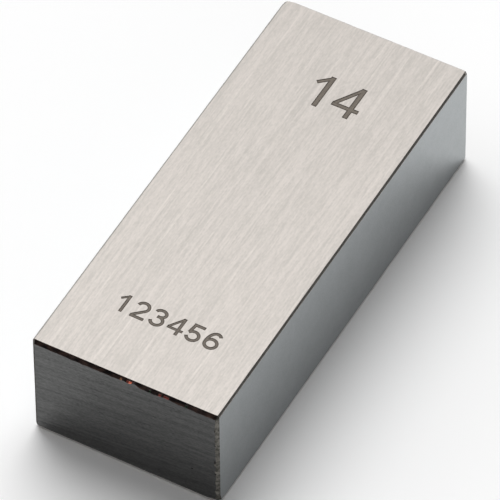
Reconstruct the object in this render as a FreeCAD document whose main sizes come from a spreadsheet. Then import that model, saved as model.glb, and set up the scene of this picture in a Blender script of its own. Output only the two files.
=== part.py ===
import FreeCAD, Part
import os
import Sketcher

# Rectangular steel gauge block of 14 mm, in the section used for lengths above 10 mm.
#
# Frame, in millimetres: the origin is the middle of the plain side face that the block
# lies on. +X is the gauge length, square to the two measuring faces. +Y runs along the
# long sides of the measuring faces. +Z points out of the side face that is marked.

NODE = "gauge_block"

# The driving dimensions: alias, value in millimetres, and what it measures.
DIMENSIONS = [
    ("gauge_length", 14.0, "from one measuring face to the other"),
    ("face_length", 34.85, "long side of a measuring face: 35, limits 0 and -0.3"),
    ("face_width", 8.85, "short side of a measuring face: 9, limits -0.05 and -0.2"),
    ("end_edge_chamfer", 0.2, "edges that run along the gauge length"),
    ("short_edge_chamfer", 0.2, "short edges of the measuring faces"),
    ("long_edge_chamfer", 0.15, "long edges of the measuring faces"),
]

ALONG_GAUGE_LENGTH = FreeCAD.Vector(1, 0, 0)
ALONG_FACE_LENGTH = FreeCAD.Vector(0, 1, 0)
ALONG_FACE_WIDTH = FreeCAD.Vector(0, 0, 1)
PARALLEL_TOLERANCE = 1e-6

# Sketcher's numbers for the ends of a line and for the sketch's own origin.
LINE_START = 1
LINE_END = 2
SKETCH_ORIGIN = (-1, 1)


def make_sheet(document):
    """The spreadsheet that holds every driving dimension under its alias."""
    sheet = document.addObject("Spreadsheet::Sheet", "dimensions")
    for row, (alias, value, meaning) in enumerate(DIMENSIONS, start=1):
        sheet.set(f"A{row}", meaning)
        sheet.set(f"B{row}", str(value))
        sheet.setAlias(f"B{row}", alias)
    document.recompute()
    return sheet


def origin_plane(body, role):
    """The body's own origin plane with this role, such as YZ_Plane."""
    for feature in body.Origin.OriginFeatures:
        if feature.Role == role:
            return feature
    raise LookupError(f"{body.Label} has no origin feature {role}")


def sketch_measuring_face(body, sheet):
    """The outline of a measuring face: a rectangle centred above the sketch's origin."""
    sketch = body.newObject("Sketcher::SketchObject", "measuring_face_outline")
    sketch.AttachmentSupport = [(origin_plane(body, "YZ_Plane"), "")]
    sketch.MapMode = "FlatFace"

    half_length = sheet.face_length / 2
    corners = [
        FreeCAD.Vector(-half_length, 0, 0),
        FreeCAD.Vector(half_length, 0, 0),
        FreeCAD.Vector(half_length, sheet.face_width, 0),
        FreeCAD.Vector(-half_length, sheet.face_width, 0),
    ]
    for start, end in zip(corners, corners[1:] + corners[:1]):
        sketch.addGeometry(Part.LineSegment(start, end), False)
    bottom, far_side, top, near_side = range(len(corners))

    loop = [bottom, far_side, top, near_side]
    for line, next_line in zip(loop, loop[1:] + loop[:1]):
        joined = Sketcher.Constraint("Coincident", line, LINE_END, next_line, LINE_START)
        sketch.addConstraint(joined)
    centred = Sketcher.Constraint("Symmetric", bottom, LINE_START, bottom, LINE_END, *SKETCH_ORIGIN)
    sketch.addConstraint(centred)
    sketch.addConstraint(Sketcher.Constraint("Horizontal", top))
    sketch.addConstraint(Sketcher.Constraint("Vertical", far_side))
    sketch.addConstraint(Sketcher.Constraint("Vertical", near_side))

    length = Sketcher.Constraint("DistanceX", bottom, LINE_START, bottom, LINE_END, sheet.face_length)
    width = Sketcher.Constraint("DistanceY", far_side, LINE_START, far_side, LINE_END, sheet.face_width)
    for constraint, alias in [(length, "face_length"), (width, "face_width")]:
        index = sketch.addConstraint(constraint)
        sketch.setExpression(f"Constraints[{index}]", f"{sheet.Name}.{alias}")
    return sketch


def pad_to_gauge_length(body, sheet, outline):
    """The square-edged block, half of its gauge length on each side of the outline."""
    pad = body.newObject("PartDesign::Pad", "block")
    pad.Profile = outline
    pad.SideType = "Symmetric"
    pad.setExpression("Length", f"{sheet.Name}.gauge_length")
    return pad


def edges_along(shape, direction):
    """The names of the shape's edges that run parallel to a direction."""
    names = []
    for number, edge in enumerate(shape.Edges, start=1):
        tangent = edge.tangentAt(edge.FirstParameter)
        if tangent.isParallel(direction, PARALLEL_TOLERANCE):
            names.append(f"Edge{number}")
    return names


def chamfer_edges(body, sheet, base, direction, alias):
    """Chamfers the four edges of the block that still run along a direction."""
    chamfer = body.newObject("PartDesign::Chamfer", alias + "s")
    chamfer.Base = (base, edges_along(base.Shape, direction))
    chamfer.setExpression("Size", f"{sheet.Name}.{alias}")
    body.Document.recompute()
    return chamfer


def make_gauge_block(document, sheet):
    """The block: its section padded to the gauge length, then all twelve edges chamfered."""
    body = document.addObject("PartDesign::Body", NODE)
    body.Label = NODE
    outline = sketch_measuring_face(body, sheet)
    block = pad_to_gauge_length(body, sheet, outline)
    document.recompute()

    ends = chamfer_edges(body, sheet, block, ALONG_GAUGE_LENGTH, "end_edge_chamfer")
    short = chamfer_edges(body, sheet, ends, ALONG_FACE_WIDTH, "short_edge_chamfer")
    chamfer_edges(body, sheet, short, ALONG_FACE_LENGTH, "long_edge_chamfer")
    body.Placement = FreeCAD.Placement()
    return body


def check(document, sub_parts):
    """Stops if any object of the document failed or a sub-part's shape is no good."""
    for item in document.Objects:
        if "Invalid" in item.State or "Error" in item.State:
            raise RuntimeError(f"{item.Label} failed: {item.State}")
    for sub_part in sub_parts:
        shape = sub_part.Shape
        if shape.isNull() or not shape.isValid() or len(shape.Solids) != 1:
            raise RuntimeError(f"{sub_part.Label} is not one valid solid")


def write_steps(sub_parts):
    """Writes each sub-part to parts/LABEL.step."""
    os.makedirs("parts", exist_ok=True)
    for sub_part in sub_parts:
        sub_part.Shape.exportStep(os.path.join("parts", sub_part.Label + ".step"))


document = FreeCAD.newDocument(NODE)
sheet = make_sheet(document)
sub_parts = [make_gauge_block(document, sheet)]
document.recompute()
check(document, sub_parts)
write_steps(sub_parts)

for sub_part in sub_parts:
    box = sub_part.Shape.BoundBox
    print(sub_part.Label, "volume", round(sub_part.Shape.Volume, 3), "mm3")
    print("  box", box.XLength, box.YLength, box.ZLength, "from Z", box.ZMin)
    print("  faces", len(sub_part.Shape.Faces), "edges", len(sub_part.Shape.Edges))
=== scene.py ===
"""Looks of the 14 mm gauge block: one ground and lapped piece of steel with etched digits.

The block is modelled in millimetres about its own centre and set into the frame, in
metres, at the end. +X is the gauge length, +Y the long side of the measuring faces,
+Z the marked side face.
"""

import itertools
import math

import bmesh
import bpy
import numpy as np
from mathutils import Matrix, Vector


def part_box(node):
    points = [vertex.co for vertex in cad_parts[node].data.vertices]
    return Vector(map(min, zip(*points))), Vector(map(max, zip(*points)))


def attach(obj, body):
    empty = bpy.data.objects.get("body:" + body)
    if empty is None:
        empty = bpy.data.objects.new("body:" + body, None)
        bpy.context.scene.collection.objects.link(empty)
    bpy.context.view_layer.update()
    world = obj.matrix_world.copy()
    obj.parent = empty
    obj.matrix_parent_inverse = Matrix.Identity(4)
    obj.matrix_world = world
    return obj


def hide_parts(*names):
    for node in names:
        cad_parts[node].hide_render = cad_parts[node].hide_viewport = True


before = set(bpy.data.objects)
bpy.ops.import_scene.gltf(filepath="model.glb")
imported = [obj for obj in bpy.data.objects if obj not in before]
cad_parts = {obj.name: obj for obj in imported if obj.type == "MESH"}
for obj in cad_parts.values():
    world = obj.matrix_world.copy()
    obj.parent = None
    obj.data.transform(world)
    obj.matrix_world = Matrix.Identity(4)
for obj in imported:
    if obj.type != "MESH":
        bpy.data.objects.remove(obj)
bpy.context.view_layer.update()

MM = 0.001
NODE = "gauge_block"
X, Y, Z = 0, 1, 2

box_low, box_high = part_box(NODE)
HALF = (box_high - box_low) / 2 / MM
CENTRE = (box_high + box_low) / 2

# Chamfers in millimetres, by the axis that the edge runs along, as on the CAD solid.
CHAMFER = {X: 0.2, Y: 0.15, Z: 0.2}
# How much further from an edge than its chamfer asks a flat face stops, or nearer where it
# is negative: by the edge's axis, the face's axis, and the signs of the face's side and of
# the edge's side of it.
UNEVEN_CHAMFER = {
    (Y, Z, 1, 1): -0.015,
    (Y, X, -1, 1): -0.03,
    (Y, Z, 1, -1): -0.02,
    (X, Y, -1, 1): 0.07,
    (X, Y, -1, -1): 0.09,
}
# How far the flat faces draw back at their corners, and over what length. Three corners,
# given by their signs in X, Y and Z, are blunter than the rest.
CORNER_EASE = 0.015
CORNER_EASE_LENGTH = 0.3
BLUNT_CORNERS = {
    (-1, 1, 1): (0.09, 0.45),
    (1, 1, 1): (0.03, 0.3),
    (1, -1, -1): (0.12, 0.6),
}
# The corners whose small facets are coloured darker: both upper ones on the right.
DARK_FACET_CORNERS = [(1, -1, 1), (1, 1, 1)]
# The spacing of the points along an edge.
EDGE_STEP = 0.2
DETAILED_EDGE_STEP = 0.05
# The two edges that have more detail, by the axis that they run along, with their signs in
# the other two axes: the upright one at the front right, and the one above the front end.
DETAILED_EDGES = {Z: {Y: -1, X: 1}, X: {Y: -1, Z: 1}}
# How far a flat face's outline wanders inwards, and over what length.
EDGE_WANDER = 0.004
EDGE_WANDER_LENGTH = 0.5
# Places across a chamfer, as shares of the way from one flat face to the other, and how
# far each stands proud.
CHAMFER_ROWS = [(0.0, 0.0), (0.1, 0.002), (0.5, 0.005), (0.9, 0.002), (1.0, 0.0)]
# How far the middle of a corner's facet stands proud.
CORNER_BULGE = 0.012
# Points closer than this are one point.
WELD_DISTANCE = 1e-5

rng = np.random.default_rng(14)


# ---------------------------------------------------------------- materials


NOISE_ROUGHNESS = 0.55
# The part of a noise's values that is spread over the whole of a range.
NOISE_LOW = 0.25
NOISE_HIGH = 0.75


def new_material(name):
    """A material with only a Principled shader, and its nodes and links."""
    material = bpy.data.materials.new(name)
    material.use_nodes = True
    return material, material.node_tree.nodes, material.node_tree.links


def add_noise(nodes, links, per_mm, detail, tilt=0.0):
    """Noise from 0 to 1 on the object's own coordinates, at so many cycles per millimetre.

    tilt turns it about Y, in degrees.
    """
    coordinates = nodes.new("ShaderNodeTexCoord")
    turn = nodes.new("ShaderNodeVectorRotate")
    turn.rotation_type = "Y_AXIS"
    turn.inputs["Angle"].default_value = math.radians(tilt)
    mapping = nodes.new("ShaderNodeMapping")
    mapping.inputs["Scale"].default_value = [cycles / MM for cycles in per_mm]
    noise = nodes.new("ShaderNodeTexNoise")
    noise.inputs["Scale"].default_value = 1.0
    noise.inputs["Detail"].default_value = detail
    noise.inputs["Roughness"].default_value = NOISE_ROUGHNESS
    links.new(coordinates.outputs["Object"], turn.inputs["Vector"])
    links.new(turn.outputs["Vector"], mapping.inputs["Vector"])
    links.new(mapping.outputs["Vector"], noise.inputs["Vector"])
    return noise.outputs["Fac"]


def add_range(nodes, links, value, low, high, from_low=NOISE_LOW, from_high=NOISE_HIGH):
    """Maps a value between from_low and from_high onto the range from low to high."""
    mapped = nodes.new("ShaderNodeMapRange")
    mapped.inputs["From Min"].default_value = from_low
    mapped.inputs["From Max"].default_value = from_high
    mapped.inputs["To Min"].default_value = low
    mapped.inputs["To Max"].default_value = high
    links.new(value, mapped.inputs["Value"])
    return mapped.outputs["Result"]


def add_tint(nodes, links, value, dark, light):
    """A colour between dark and light."""
    mix = nodes.new("ShaderNodeMix")
    mix.data_type = "RGBA"
    mix.inputs["A"].default_value = (*dark, 1.0)
    mix.inputs["B"].default_value = (*light, 1.0)
    links.new(value, mix.inputs["Factor"])
    return mix.outputs["Result"]


def add_sum(nodes, links, values, weights):
    """The weighted sum of some values."""
    total = None
    for value, weight in zip(values, weights):
        term = nodes.new("ShaderNodeMath")
        term.operation = "MULTIPLY_ADD"
        term.inputs[1].default_value = weight
        term.inputs[2].default_value = 0.0
        links.new(value, term.inputs[0])
        if total:
            links.new(total, term.inputs[2])
        total = term.outputs["Value"]
    return total


def add_scaled(nodes, links, colour, factor):
    """A colour times a factor."""
    scaled = nodes.new("ShaderNodeVectorMath")
    scaled.operation = "SCALE"
    links.new(colour, scaled.inputs["Vector"])
    links.new(factor, scaled.inputs["Scale"])
    return scaled.outputs["Vector"]


# Noise layers: cycles per millimetre along X, Y and Z, how much finer detail, and weight.
# A grain has many cycles across it and few along it.
ALONG_Y = [
    ((4.5, 0.15, 4.5), 1.0, 0.34),
    ((7.5, 0.7, 7.5), 1.0, 0.4),
    ((10.0, 4.5, 10.0), 0.0, 0.26),
]
ALONG_X = [
    ((0.12, 4.5, 4.5), 1.0, 0.36),
    ((0.8, 7.0, 7.0), 2.0, 0.36),
    ((4.5, 9.0, 9.0), 0.0, 0.28),
]
LAPPED = [((1.2, 1.2, 1.2), 1.0, 0.35), ((7.0, 7.0, 7.0), 1.0, 0.65)]
SPECKLED = [((2.5, 2.5, 3.2), 1.0, 0.6), ((7.0, 7.0, 7.0), 1.0, 0.4)]
# The thin scratches of a grain: their noise, and for the light and the dark ones the values
# where they begin and are full, and how much lighter or darker than the rest they are.
SCRATCHES_ALONG_Y = ((5.5, 0.1, 5.5), (0.66, 0.78, 1.07), (0.33, 0.22, 0.96))
SCRATCHES_ALONG_X = ((0.09, 5.0, 5.0), (0.66, 0.78, 1.10), (0.33, 0.22, 0.84))
# The light streaks of a grain are a little pinker than the dark ones.
LIGHT_CAST = (1.004, 0.997, 1.0)
# How far from its middle a grain's value reaches the full dark or light colour, and the
# values where its gloss is lowest and highest.
GRAIN_SPREAD = 0.13
DULL_GRAIN = 0.3
GLOSSY_GRAIN = 0.7
# The depth of the grain in millimetres.
GRAIN_DEPTH = 0.0008
# The values where a mottled surface is wholly dark and wholly light, and how far its
# roughness varies to each side.
MOTTLE_DARK = 0.35
MOTTLE_LIGHT = 0.65
MOTTLE_ROUGHNESS = 0.1


def grained_metal(
    name, colour, contrast, roughness, layers, scratches=None, tilt=0.0, edge_tint=1.0, painted_far_shade=1.0
):
    """Metal whose colour, gloss and surface follow layers of noise, with thin scratches.

    roughness is its middle and spread. tilt turns the grain about Y, in degrees.
    edge_tint below 1 dulls the metal where it is seen at a flat angle. The far-end factor is
    painted shade: the colour at the far end, in +Y, over that at the near end, darker there in
    place of a fall-off in the light that the steel mirrors.
    """
    material, nodes, links = new_material(name)
    shader = nodes["Principled BSDF"]
    shader.inputs["Metallic"].default_value = 1.0
    shader.inputs["Specular Tint"].default_value = (edge_tint, edge_tint, edge_tint, 1.0)

    noises = [add_noise(nodes, links, per_mm, detail, tilt) for per_mm, detail, weight in layers]
    grain = add_sum(nodes, links, noises, [weight for per_mm, detail, weight in layers])
    factor = add_range(nodes, links, grain, 0.0, 1.0, 0.5 - GRAIN_SPREAD, 0.5 + GRAIN_SPREAD)
    dark = [channel * (1 - contrast) / cast for channel, cast in zip(colour, LIGHT_CAST)]
    light = [channel * (1 + contrast) * cast for channel, cast in zip(colour, LIGHT_CAST)]
    tint = add_tint(nodes, links, factor, dark, light)
    if scratches:
        per_mm, light_ones, dark_ones = scratches
        lines = add_noise(nodes, links, per_mm, 0.0, tilt)
        for begins, full, change in (light_ones, dark_ones):
            strength = add_range(nodes, links, lines, 1.0, change, begins, full)
            tint = add_scaled(nodes, links, tint, strength)
    # Painted shade: the colour darkens evenly along Y, down to the far-end factor.
    if painted_far_shade != 1.0:
        along = nodes.new("ShaderNodeSeparateXYZ")
        coordinates = nodes.new("ShaderNodeTexCoord")
        links.new(coordinates.outputs["Object"], along.inputs["Vector"])
        tone = add_range(nodes, links, along.outputs["Y"], 1.0, painted_far_shade, box_low.y, box_high.y)
        tint = add_scaled(nodes, links, tint, tone)
    links.new(tint, shader.inputs["Base Color"])

    middle, spread = roughness
    dull, glossy = middle + spread, middle - spread
    rough = add_range(nodes, links, grain, dull, glossy, DULL_GRAIN, GLOSSY_GRAIN)
    links.new(rough, shader.inputs["Roughness"])

    bump = nodes.new("ShaderNodeBump")
    bump.inputs["Distance"].default_value = GRAIN_DEPTH * MM
    links.new(grain, bump.inputs["Height"])
    links.new(bump.outputs["Normal"], shader.inputs["Normal"])
    return material


def speckled(name, dark, light, metallic, roughness, per_mm=(7.0, 3.0, 7.0)):
    """A dull surface mottled in two colours, such as an etched floor, a pit, painted shade or a
    painted glint.
    """
    material, nodes, links = new_material(name)
    shader = nodes["Principled BSDF"]
    shader.inputs["Metallic"].default_value = metallic
    mottle = add_noise(nodes, links, per_mm, 2.0)
    factor = add_range(nodes, links, mottle, 0.0, 1.0, MOTTLE_DARK, MOTTLE_LIGHT)
    tint = add_tint(nodes, links, factor, dark, light)
    links.new(tint, shader.inputs["Base Color"])
    glossy, dull = roughness - MOTTLE_ROUGHNESS, roughness + MOTTLE_ROUGHNESS
    rough = add_range(nodes, links, mottle, glossy, dull)
    links.new(rough, shader.inputs["Roughness"])
    return material


MATERIALS = {
    "ground_side": grained_metal(
        "ground_side",
        (0.737, 0.69, 0.645),
        0.075,
        (0.34, 0.04),
        ALONG_Y,
        SCRATCHES_ALONG_Y,
        # Painted shade: the top's colour is a tenth darker at the far end.
        painted_far_shade=0.9,
    ),
    # Painted shade: the end faces are coloured far darker than the rest of the steel, for the shaded
    # floor and dim room that they mirror; their grain is real.
    "ground_end_painted_shade": grained_metal(
        "ground_end_painted_shade", (0.097, 0.098, 0.097), 0.26, (0.25, 0.04), ALONG_X, SCRATCHES_ALONG_X, tilt=5.0
    ),
    # Partly painted shade: the measuring faces are coloured darker than the top, for the shaded floor
    # that they mirror; their lapped finish is real.
    "lapped_face_painted_shade": grained_metal("lapped_face_painted_shade", (0.307, 0.329, 0.337), 0.07, (0.13, 0.015), LAPPED),
    "end_chamfer": grained_metal("end_chamfer", (0.50, 0.47, 0.44), 0.25, (0.33, 0.08), SPECKLED),
    # Painted shade: the chamfer above the front end is near black, for the dark room that it mirrors,
    # mottled a little brown.
    "front_chamfer_painted_shade": speckled(
        "front_chamfer_painted_shade", (0.03, 0.026, 0.027), (0.09, 0.055, 0.045), 1.0, 0.4, (1.2, 3.0, 3.0)
    ),
    "long_chamfer": grained_metal(
        "long_chamfer", (0.36, 0.34, 0.315), 0.15, (0.30, 0.06), ALONG_Y, edge_tint=0.73
    ),
    # Painted shade: the upright chamfers and most corner facets are coloured dark and dulled at a
    # flat angle, for the shaded floor that they mirror.
    "short_chamfer_painted_shade": grained_metal(
        "short_chamfer_painted_shade", (0.135, 0.13, 0.117), 0.45, (0.42, 0.08), SPECKLED, edge_tint=0.2
    ),
    "dark_corner_facet": grained_metal(
        "dark_corner_facet", (0.05, 0.045, 0.04), 0.3, (0.5, 0.08), SPECKLED, edge_tint=0.1
    ),
    "dark_pit": speckled("dark_pit", (0.014, 0.012, 0.011), (0.026, 0.023, 0.021), 0.3, 0.6),
    # Painted glints: bright and fringed specks of colour in the nicks of the chamfer above the front
    # end.
    "brown_painted_glint": speckled("brown_painted_glint", (0.28, 0.14, 0.08), (0.45, 0.25, 0.15), 0.3, 0.6),
    "red_painted_glint": speckled("red_painted_glint", (0.16, 0.032, 0.024), (0.36, 0.09, 0.07), 0.3, 0.6),
    "green_painted_glint": speckled("green_painted_glint", (0.012, 0.022, 0.012), (0.03, 0.06, 0.03), 0.3, 0.6),
    "orange_painted_glint": speckled("orange_painted_glint", (0.8, 0.22, 0.13), (1.0, 0.32, 0.2), 0.3, 0.5),
    "etched_rim": speckled("etched_rim", (0.113, 0.096, 0.08), (0.149, 0.127, 0.106), 0.2, 0.6),
    "etched_core": speckled("etched_core", (0.147, 0.125, 0.103), (0.197, 0.168, 0.139), 0.2, 0.55),
}
MATERIAL_NUMBER = {name: number for number, name in enumerate(MATERIALS)}
FACE_MATERIAL = {X: "lapped_face_painted_shade", Y: "ground_end_painted_shade", Z: "ground_side"}
CHAMFER_MATERIAL = {X: "end_chamfer", Y: "long_chamfer", Z: "short_chamfer_painted_shade"}


# ---------------------------------------------------------------- the block


# How many lengths to each side the smoothing of a wandering line takes in.
SMOOTHING_REACH = 3


def smooth_noise(count, step, length):
    """Random values with a spread of 1 that vary over this length."""
    reach = max(1, round(SMOOTHING_REACH * length / step))
    window = np.exp(-0.5 * (np.arange(-reach, reach + 1) * step / length) ** 2)
    values = np.convolve(rng.normal(size=count + 2 * reach), window, mode="valid")
    return values / math.sqrt((window**2).sum())


def smoothstep(value):
    """0 below 0 and 1 above 1, with an even rise between them."""
    value = np.clip(value, 0.0, 1.0)
    return value * value * (3 - 2 * value)


# The notches that the two detailed edges bite into the front end face: the place from the
# block's centre, how deep, and the half-length. Where the depth is negative, the chamfer
# is narrower instead.
NOTCHES = {
    Z: [
        (3.0, 0.06, 0.12),
        (1.9, 0.04, 0.10),
        (0.9, 0.05, 0.14),
        (-0.5, 0.13, 0.16),
        (-1.2, 0.09, 0.12),
        (-2.2, 0.05, 0.20),
        (-3.2, 0.06, 0.12),
    ],
    X: [
        (-0.1, -0.08, 0.35),
        (0.72, -0.20, 0.28),
        (1.75, 0.03, 0.2),
        (3.1, -0.10, 0.4),
        (5.4, 0.04, 0.25),
        (6.1, 0.03, 0.2),
    ],
}
# These edges also wander further there than the others do.
RAGGED_WANDER = 0.018
RAGGED_WANDER_LENGTH = 0.12


def inset(run, face, face_side, edge_side):
    """How far a flat face stops short of the edge that runs along run."""
    return CHAMFER[run] + UNEVEN_CHAMFER.get((run, face, face_side, edge_side), 0.0)


def corner_ease(sides):
    """How far the flat faces draw back at a corner, and over what length."""
    corner = (sides[X], sides[Y], sides[Z])
    return BLUNT_CORNERS.get(corner, (CORNER_EASE, CORNER_EASE_LENGTH))


def boundary(run, across, face, sides):
    """Points along one side of a flat face, where it meets the chamfer of an edge.

    The edge runs along axis run, the face's normal is axis face, and across is the
    third axis. sides gives the sign of the face and of the across direction.
    """
    detailed = sides == DETAILED_EDGES.get(run)
    step = DETAILED_EDGE_STEP if detailed else EDGE_STEP
    count = round(2 * HALF[run] / step) + 1
    eases = {end: corner_ease({**sides, run: end}) for end in (-1, 1)}
    low, high = [
        HALF[run] - inset(across, face, sides[face], end) - eases[end][0] for end in (-1, 1)
    ]
    along = np.linspace(-low, high, count)

    inward = EDGE_WANDER * np.abs(smooth_noise(count, step, EDGE_WANDER_LENGTH))
    if detailed and face == Y:
        inward = RAGGED_WANDER * np.abs(smooth_noise(count, step, RAGGED_WANDER_LENGTH))
        for place, bite, half_length in NOTCHES[run]:
            inward += bite * np.exp(-(((along - place) / half_length) ** 2))
    for end, from_end in ((-1, along + low), (1, high - along)):
        amount, length = eases[end]
        fade = smoothstep(from_end / length)
        inward = inward * fade + amount * (1 - fade)

    points = np.zeros((count, 3))
    points[:, run] = along
    points[:, face] = sides[face] * HALF[face]
    outward = HALF[across] - inset(run, face, sides[face], sides[across]) - inward
    points[:, across] = sides[across] * outward
    return points


# Nicks in the lower half of the front-top chamfer: place along X, half-width and material,
# whose colour paints a glint or its colour fringe. Each has a small ledge that looks up, and
# above it a steep wall.
NICKS = [
    (-0.27, 0.06, "brown_painted_glint"),
    (0.23, 0.07, "red_painted_glint"),
    (0.41, 0.12, "orange_painted_glint"),
    (1.87, 0.08, "green_painted_glint"),
    (2.62, 0.10, "red_painted_glint"),
    (3.12, 0.19, "red_painted_glint"),
    (4.60, 0.09, "green_painted_glint"),
]
LEDGE_DEPTH = 0.11
LEDGE_RISE = 0.015
# The ledge and the wall are the first two strips of the chamfer, from the end face up.
NICKED_STRIPS = 2


def nick_at(place):
    """The material of the nick at this place along the front-top chamfer, or None."""
    for centre, half_width, material in NICKS:
        if abs(place - centre) < half_width:
            return material
    return None


def is_nicked(run, sides):
    """Whether this is the edge above the front end."""
    return run == X and sides == DETAILED_EDGES[X]


def chamfer_rows(run, first, second, sides, first_line, second_line):
    """The rows of points across a chamfer, from the first flat face to the second."""
    outward = np.zeros(3)
    outward[first] = sides[first]
    outward[second] = sides[second]
    outward /= math.sqrt(2)
    rows = []
    for share, proud in CHAMFER_ROWS:
        rows.append(first_line * (1 - share) + second_line * share + outward * proud)
    if is_nicked(run, sides):
        for index, place in enumerate(first_line[:, X]):
            if nick_at(place):
                rows[1][index] = first_line[index] + (0.0, LEDGE_DEPTH, LEDGE_RISE)
    return rows


def add_face(mesh, vertices, material, smooth):
    """Adds a face with a material, given by its name, and its shading."""
    face = mesh.faces.new(vertices)
    face.material_index = MATERIAL_NUMBER[material]
    face.smooth = smooth


def other_axes(axis):
    """The two other axes, in order."""
    return [other for other in (X, Y, Z) if other != axis]


def flat_face_lines():
    """The outlines of the six flat faces, by face, side, run and the side across it."""
    lines = {}
    for face in (X, Y, Z):
        run_axes = other_axes(face)
        for side in (-1, 1):
            for run, across in (run_axes, run_axes[::-1]):
                for across_side in (-1, 1):
                    sides = {face: side, across: across_side}
                    key = (face, side, run, across_side)
                    lines[key] = boundary(run, across, face, sides)
    return lines


def add_flat_faces(mesh, lines):
    """Adds the six flat faces, each one face inside its four lines."""
    for face in (X, Y, Z):
        first, second = other_axes(face)
        for side in (-1, 1):
            loop = [
                *lines[face, side, first, -1][:-1],
                *lines[face, side, second, 1][:-1],
                *lines[face, side, first, 1][:0:-1],
                *lines[face, side, second, -1][:0:-1],
            ]
            vertices = [mesh.verts.new(point) for point in loop]
            add_face(mesh, vertices, FACE_MATERIAL[face], smooth=False)


def add_chamfer(mesh, run, sides, rows):
    """Adds a chamfer's strips between its rows of points, and returns the rows' vertices."""
    nicked = is_nicked(run, sides)
    material = "front_chamfer_painted_shade" if nicked else CHAMFER_MATERIAL[run]
    grid = [[mesh.verts.new(point) for point in row] for row in rows]
    for strip, (row, next_row) in enumerate(zip(grid, grid[1:])):
        for index in range(len(row) - 1):
            quad = [row[index], row[index + 1], next_row[index + 1], next_row[index]]
            middle = (row[index].co[run] + row[index + 1].co[run]) / 2
            in_nick = nicked and strip < NICKED_STRIPS
            # The first strips in a nick take its painted glint colour, flat shaded.
            speck = nick_at(middle) if in_nick else None
            add_face(mesh, quad, speck or material, smooth=not speck)
    return grid


def add_chamfers(mesh, lines):
    """Adds the twelve chamfers, and returns their end points by corner and pair of faces."""
    ends = {}
    for run in (X, Y, Z):
        first, second = other_axes(run)
        for first_side in (-1, 1):
            for second_side in (-1, 1):
                sides = {first: first_side, second: second_side}
                first_line = lines[first, first_side, run, second_side]
                second_line = lines[second, second_side, run, first_side]
                rows = chamfer_rows(run, first, second, sides, first_line, second_line)
                grid = add_chamfer(mesh, run, sides, rows)
                for end_side, index in ((-1, 0), (1, -1)):
                    corner = [0, 0, 0]
                    corner[run], corner[first], corner[second] = end_side, first_side, second_side
                    ends[tuple(corner), first, second] = [row[index].co.copy() for row in grid]
    return ends


def add_corner(mesh, corner, ends):
    """Adds the facet of a corner, which rises a little to its middle."""
    loop = [
        *ends[corner, X, Y][:-1],
        *ends[corner, Y, Z][:-1],
        *ends[corner, X, Z][:0:-1],
    ]
    material = "dark_corner_facet" if corner in DARK_FACET_CORNERS else "short_chamfer_painted_shade"
    outward = Vector(corner).normalized()
    middle = sum(loop, Vector()) / len(loop) + outward * CORNER_BULGE
    tip = mesh.verts.new(middle)
    rim = [mesh.verts.new(point) for point in loop]
    for vertex, next_vertex in zip(rim, rim[1:] + rim[:1]):
        add_face(mesh, [vertex, next_vertex, tip], material, smooth=True)


def build_block():
    """The chamfered block as a closed bmesh, in millimetres about its own centre."""
    mesh = bmesh.new()
    lines = flat_face_lines()
    add_flat_faces(mesh, lines)
    ends = add_chamfers(mesh, lines)
    for corner in itertools.product((-1, 1), repeat=3):
        add_corner(mesh, corner, ends)
    bmesh.ops.remove_doubles(mesh, verts=mesh.verts, dist=WELD_DISTANCE)
    bmesh.ops.recalc_face_normals(mesh, faces=mesh.faces)
    return mesh


# ---------------------------------------------------------------- etched digits

# Strokes on a digit one unit high, its lower left corner at the origin. A stroke is its
# width as a share of the mark's stroke, and a list of moves: ("to", x, y) is a straight
# stretch, and ("arc", x, y, radius_x, radius_y, start, end) an arc about x, y from one
# angle to another, in degrees.
DIGIT_STROKES = {
    "1": [
        (1.0, [("to", 0.4, 0.0), ("to", 0.4, 1.0)]),
        (0.8, [("to", 0.112, 0.69), ("to", 0.405, 0.945)]),
    ],
    "2": [
        (
            1.0,
            [("arc", 0.325, 0.69, 0.235, 0.235, 170, -45), ("to", 0.105, 0.138), ("to", 0.06, 0.09)],
        ),
        (1.0, [("to", 0.02, 0.075), ("to", 0.63, 0.075)]),
    ],
    "3": [
        (1.0, [("arc", 0.3, 0.735, 0.225, 0.19, 168, -90), ("to", 0.22, 0.545)]),
        (1.0, [("to", 0.22, 0.5525), ("arc", 0.3, 0.315, 0.25, 0.2375, 90, -168)]),
    ],
    "4": [
        (1.0, [("to", 0.482, 0.0), ("to", 0.482, 1.0)]),
        (0.9, [("to", 0.002, 0.289), ("to", 0.681, 0.289)]),
        (0.84, [("to", 0.055, 0.316), ("to", 0.477, 0.969)]),
    ],
    "5": [
        (1.0, [("to", 0.10, 0.925), ("to", 0.6, 0.925)]),
        (1.0, [("to", 0.18, 0.95), ("to", 0.105, 0.46)]),
        (1.0, [("arc", 0.315, 0.325, 0.25, 0.25, 152, -165)]),
    ],
    "6": [
        (1.0, [("arc", 0.325, 0.325, 0.25, 0.25, 0, 360)]),
        (
            1.0,
            [("arc", 0.36, 0.4, 0.285, 0.525, 185, 90), ("arc", 0.36, 0.745, 0.2, 0.18, 88, 18)],
        ),
    ],
}
# An arc has a point every so many degrees.
ARC_STEP = 12.0
# A line whose ends are closer than this is closed.
CLOSING_DISTANCE = 1e-6
# The upright strokes lean a little to +X, in degrees.
DIGIT_LEAN = 0.5
# The depth of the digits' rims and of their cores, which stand a little higher, how far
# the cutting tool stands out of the block, and how far the cores go into the steel.
ETCH_DEPTH = 0.035
CORE_DEPTH = 0.015
TOOL_CLEARANCE = 0.2
CORE_OVERLAP = 0.1
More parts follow.
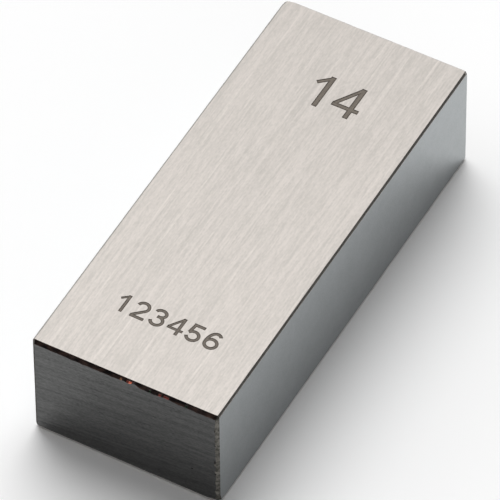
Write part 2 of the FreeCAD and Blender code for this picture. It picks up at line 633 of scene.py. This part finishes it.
# The two marks in millimetres: the place of the baseline in Y at X = 0, its slope in
# degrees, the digits' height, how much wider they are than drawn, their stroke, and the
# rim to each side of a stroke.
LENGTH_MARK = {
    "base_y": 9.558,
    "slope": 0.0,
    "height": 2.96,
    "width_share": 1.0,
    "stroke": 0.39,
    "rim": 0.08,
}
NUMBER_MARK = {
    "base_y": -12.538,
    "slope": -0.7,
    "height": 1.56,
    "width_share": 1.1,
    "stroke": 0.245,
    "rim": 0.06,
}
# The digits of the nominal length have a place each: the left side of their cells in X.
LENGTH_DIGITS = [("1", -1.839), ("4", 0.28)]
# The plain number near the front end: the left side of its first cell, and the spacing.
NUMBER_DIGITS = "123456"
NUMBER_LEFT = -3.83
NUMBER_PITCH = 1.3475


def stroke_path(moves):
    """The points of a stroke's centre line."""
    points = []
    for move in moves:
        if move[0] == "to":
            points.append(Vector(move[1:]))
            continue
        x, y, radius_x, radius_y, start, end = move[1:]
        count = max(2, round(abs(end - start) / ARC_STEP))
        for angle in np.radians(np.linspace(start, end, count + 1)):
            points.append(Vector((x + radius_x * math.cos(angle), y + radius_y * math.sin(angle))))
    return points


def ribbon_sides(points, width):
    """The two sides of a stroke of this width along its centre line."""
    left, right = [], []
    for index, point in enumerate(points):
        before = points[max(index - 1, 0)]
        after = points[min(index + 1, len(points) - 1)]
        direction = (after - before).normalized()
        across = Vector((-direction.y, direction.x)) * (width / 2)
        left.append(point + across)
        right.append(point - across)
    return left, right


def is_closed(points):
    """Whether a centre line ends where it begins."""
    return (points[0] - points[-1]).length < CLOSING_DISTANCE


def add_ribbon(mesh, points, width, bottom, top, material):
    """A closed upright slab along a centre line, from bottom to top in Z."""
    closed = is_closed(points)
    if closed:
        # Each point between its two neighbours, so that the ends join without a step.
        points = points[:-1]
        threes = zip(points[-1:] + points[:-1], points, points[1:] + points[:1])
        sides = [ribbon_sides(three, width) for three in threes]
        left = [side[0][1] for side in sides]
        right = [side[1][1] for side in sides]
    else:
        left, right = ribbon_sides(points, width)
    rings = []
    for left_point, right_point in zip(left, right):
        corners = [(left_point, bottom), (right_point, bottom), (right_point, top), (left_point, top)]
        rings.append([mesh.verts.new((point.x, point.y, height)) for point, height in corners])
    pairs = list(zip(rings, rings[1:]))
    if closed:
        pairs.append((rings[-1], rings[0]))
    for ring, next_ring in pairs:
        for vertex in range(4):
            next_vertex = (vertex + 1) % 4
            quad = [ring[vertex], ring[next_vertex], next_ring[next_vertex], next_ring[vertex]]
            add_face(mesh, quad, material, smooth=False)
    if not closed:
        add_face(mesh, rings[0], material, smooth=False)
        add_face(mesh, rings[-1], material, smooth=False)


def shorten(points, amount):
    """The centre line with its two ends drawn in, or as it is if it is closed."""
    points = list(points)
    if is_closed(points):
        return points
    points[0] = points[0] + (points[1] - points[0]).normalized() * amount
    points[-1] = points[-1] + (points[-2] - points[-1]).normalized() * amount
    return points


def add_mark(outer, core, digits, left, pitch, base_y, slope, height, width_share, stroke, rim):
    """Adds a line of digits: their whole strokes to outer, and the strokes less a rim to core.

    left is the left side of the first digit's cell, and pitch the spacing of the cells.
    """
    surface = HALF[Z]
    lean = math.tan(math.radians(DIGIT_LEAN))
    rise = math.tan(math.radians(slope))
    for number, digit in enumerate(digits):
        for share, moves in DIGIT_STROKES[digit]:
            line = []
            for point in stroke_path(moves):
                x = left + number * pitch + point.x * height * width_share + point.y * height * lean
                line.append(Vector((x, base_y + x * rise + point.y * height)))
            width = stroke * share
            bottom, top = surface - ETCH_DEPTH, surface + TOOL_CLEARANCE
            add_ribbon(outer, line, width, bottom, top, "etched_rim")
            inner = shorten(line, rim)
            core_bottom, core_top = surface - ETCH_DEPTH - CORE_OVERLAP, surface - CORE_DEPTH
            add_ribbon(core, inner, width - 2 * rim, core_bottom, core_top, "etched_core")


def to_object(mesh, name):
    """A scene object from a bmesh, with every material in the same order."""
    bmesh.ops.recalc_face_normals(mesh, faces=mesh.faces)
    data = bpy.data.meshes.new(name)
    mesh.to_mesh(data)
    mesh.free()
    for material in MATERIALS.values():
        data.materials.append(material)
    thing = bpy.data.objects.new(name, data)
    bpy.context.scene.collection.objects.link(thing)
    return thing


def combine(target, tool, operation):
    """Applies an exact boolean to target and removes the tool."""
    modifier = target.modifiers.new("boolean", "BOOLEAN")
    modifier.object = tool
    modifier.operation = operation
    modifier.solver = "EXACT"
    modifier.use_self = True
    modifier.material_mode = "INDEX"
    graph = bpy.context.evaluated_depsgraph_get()
    result = bpy.data.meshes.new_from_object(target.evaluated_get(graph))
    target.modifiers.clear()
    target.data = result
    bpy.data.objects.remove(tool)


def mark_tools():
    """The two tools for the digits: the whole strokes to cut, and the cores to put back."""
    outer, core = bmesh.new(), bmesh.new()
    for digit, left in LENGTH_DIGITS:
        add_mark(outer, core, digit, left, pitch=0.0, **LENGTH_MARK)
    add_mark(outer, core, NUMBER_DIGITS, NUMBER_LEFT, NUMBER_PITCH, **NUMBER_MARK)
    return to_object(outer, "mark_strokes"), to_object(core, "mark_cores")


# Pits in the front end face and its ragged edge: X, Z, half-width, half-height and depth.
PITS = [
    (5.0, 2.6, 0.10, 0.06, 0.04),
    (6.72, 4.2, 0.09, 0.13, 0.05),
    (6.86, 3.75, 0.06, 0.10, 0.05),
    (6.75, 3.0, 0.08, 0.06, 0.04),
    (6.74, 7.4, 0.05, 0.12, 0.03),
    (6.76, 5.9, 0.05, 0.08, 0.03),
]
# The scratch in the right measuring face: the Y and Z of its ends, half-width and depth.
SCRATCH_ENDS = ((11.3, 7.35), (12.3, 6.45))
SCRATCH_HALF_WIDTH = 0.022
SCRATCH_DEPTH = 0.006
PIT_SUBDIVISIONS = 2
SCRATCH_SUBDIVISIONS = 3


def wear_tool():
    """Small marks of use: pits in the front end face and a scratch in a measuring face."""
    mesh = bmesh.new()
    for x, z, half_width, half_height, depth in PITS:
        place = Matrix.Translation((x, -HALF[Y], z - HALF[Z]))
        size = Matrix.Diagonal((half_width, depth, half_height, 1.0))
        bmesh.ops.create_icosphere(
            mesh, subdivisions=PIT_SUBDIVISIONS, radius=1.0, matrix=place @ size
        )
    for face in mesh.faces:
        face.material_index = MATERIAL_NUMBER["dark_pit"]

    (start_y, start_z), (end_y, end_z) = SCRATCH_ENDS
    middle = Vector((HALF[X], (start_y + end_y) / 2, (start_z + end_z) / 2 - HALF[Z]))
    turn = Matrix.Rotation(math.atan2(end_z - start_z, end_y - start_y), 4, "X")
    half_length = math.hypot(end_y - start_y, end_z - start_z) / 2
    size = Matrix.Diagonal((SCRATCH_DEPTH, half_length, SCRATCH_HALF_WIDTH, 1.0))
    matrix = Matrix.Translation(middle) @ turn @ size
    made = bmesh.ops.create_icosphere(
        mesh, subdivisions=SCRATCH_SUBDIVISIONS, radius=1.0, matrix=matrix
    )
    for face in {face for vertex in made["verts"] for face in vertex.link_faces}:
        face.material_index = MATERIAL_NUMBER["lapped_face_painted_shade"]
    for face in mesh.faces:
        face.smooth = True
    return to_object(mesh, "wear")


def make_block():
    """The steel block with its digits and its wear, set into the frame in metres."""
    block = to_object(build_block(), "steel_block")
    strokes, cores = mark_tools()
    combine(block, strokes, "DIFFERENCE")
    combine(block, cores, "UNION")
    combine(block, wear_tool(), "DIFFERENCE")
    block.data.transform(Matrix.Translation(CENTRE) @ Matrix.Scale(MM, 4))
    return block


# ---------------------------------------------------------------- stage, light and camera


# The floor's half-width and how far it lies below the block, in metres, and its colour.
FLOOR_HALF_WIDTH = 4.0
FLOOR_DROP = 0.00001
FLOOR_COLOUR = (0.97, 0.97, 0.97, 1.0)


def make_floor():
    """A matt white floor under the block."""
    mesh = bmesh.new()
    bmesh.ops.create_grid(mesh, x_segments=1, y_segments=1, size=FLOOR_HALF_WIDTH)
    data = bpy.data.meshes.new("floor")
    mesh.to_mesh(data)
    mesh.free()
    floor = bpy.data.objects.new("floor", data)
    floor.location.z = -FLOOR_DROP
    bpy.context.scene.collection.objects.link(floor)
    material, nodes, links = new_material("white_paper")
    shader = nodes["Principled BSDF"]
    shader.inputs["Base Color"].default_value = FLOOR_COLOUR
    shader.inputs["Roughness"].default_value = 1.0
    shader.inputs["Specular IOR Level"].default_value = 0.0
    data.materials.append(material)


def direction(azimuth, elevation):
    """The unit vector towards a place given as azimuth (0 is -Y, 90 is +X) and elevation."""
    turn, rise = math.radians(azimuth), math.radians(elevation)
    level = math.cos(rise)
    return Vector((math.sin(turn) * level, -math.cos(turn) * level, math.sin(rise)))


# The studio's surroundings: a dim room, with a large bright wall behind and to the left, a
# small pale screen in front and to the right, and a darker corner in front. Each is a
# direction, the cosines of the angles where it begins and is full, and what it adds.
ROOM = 0.12
WALLS = [
    (direction(235, 20), 0.28, 0.41, 0.88),
    (direction(48, 10), 0.8, 0.97, 0.42),
    (direction(340, 40), 0.6, 0.95, -0.09),
]


def make_world():
    """The room's brightness in each direction."""
    world = bpy.data.worlds.new("studio")
    world.use_nodes = True
    bpy.context.scene.world = world
    nodes, links = world.node_tree.nodes, world.node_tree.links
    nodes["Background"].inputs["Color"].default_value = (1.0, 1.0, 1.0, 1.0)
    coordinates = nodes.new("ShaderNodeTexCoord")
    total = None
    for towards, begins, full, added in WALLS:
        cosine = nodes.new("ShaderNodeVectorMath")
        cosine.operation = "DOT_PRODUCT"
        cosine.inputs[1].default_value = towards
        links.new(coordinates.outputs["Generated"], cosine.inputs[0])
        wall = nodes.new("ShaderNodeMapRange")
        wall.interpolation_type = "SMOOTHSTEP"
        wall.inputs["From Min"].default_value = begins
        wall.inputs["From Max"].default_value = full
        wall.inputs["To Min"].default_value = 0.0
        wall.inputs["To Max"].default_value = added
        links.new(cosine.outputs["Value"], wall.inputs["Value"])
        add = nodes.new("ShaderNodeMath")
        add.operation = "ADD"
        add.inputs[1].default_value = ROOM
        if total:
            links.new(total, add.inputs[1])
        links.new(wall.outputs["Result"], add.inputs[0])
        total = add.outputs["Value"]
    links.new(total, nodes["Background"].inputs["Strength"])


# The key light is a wide sun from behind. Its softness is the angle that it fills.
KEY_AZIMUTH = 207
KEY_ELEVATION = 55
KEY_STRENGTH = 1.97
KEY_SOFTNESS = 51


def make_key_light():
    """A soft sun for the floor and its shadow, which the steel doesn't mirror."""
    light = bpy.data.lights.new("key", "SUN")
    light.energy = KEY_STRENGTH
    light.angle = math.radians(KEY_SOFTNESS)
    key = bpy.data.objects.new("key", light)
    key.rotation_mode = "QUATERNION"
    key.rotation_quaternion = direction(KEY_AZIMUTH, KEY_ELEVATION).to_track_quat("Z", "Y")
    key.visible_glossy = False
    bpy.context.scene.collection.objects.link(key)


# The camera of the photograph: angles in degrees, lengths in metres.
CAMERA_AZIMUTH = 29.33
CAMERA_ELEVATION = 49.05
CAMERA_ROLL = -0.556
CAMERA_DISTANCE = 0.5098
CAMERA_TARGET = Vector((0.00616, -0.01145, 0.01908))
CAMERA_VIEW_ANGLE = 3.6225
CAMERA_CLIP_START = 0.01
CAMERA_CLIP_END = 20.0


def make_camera():
    """The camera, which looks at its target and is rolled a little about its own axis."""
    data = bpy.data.cameras.new("camera")
    data.angle = math.radians(CAMERA_VIEW_ANGLE)
    data.clip_start = CAMERA_CLIP_START
    data.clip_end = CAMERA_CLIP_END
    camera = bpy.data.objects.new("camera", data)
    back = direction(CAMERA_AZIMUTH, CAMERA_ELEVATION)
    camera.location = CAMERA_TARGET + back * CAMERA_DISTANCE
    camera.rotation_mode = "QUATERNION"
    level = (-back).to_track_quat("-Z", "Y")
    roll = Matrix.Rotation(math.radians(CAMERA_ROLL), 4, "Z").to_quaternion()
    camera.rotation_quaternion = level @ roll
    bpy.context.scene.collection.objects.link(camera)
    bpy.context.scene.camera = camera


block = make_block()
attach(block, "root")
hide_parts(NODE)
make_floor()
make_world()
make_key_light()
make_camera()
bpy.context.scene.view_settings.view_transform = "Standard"
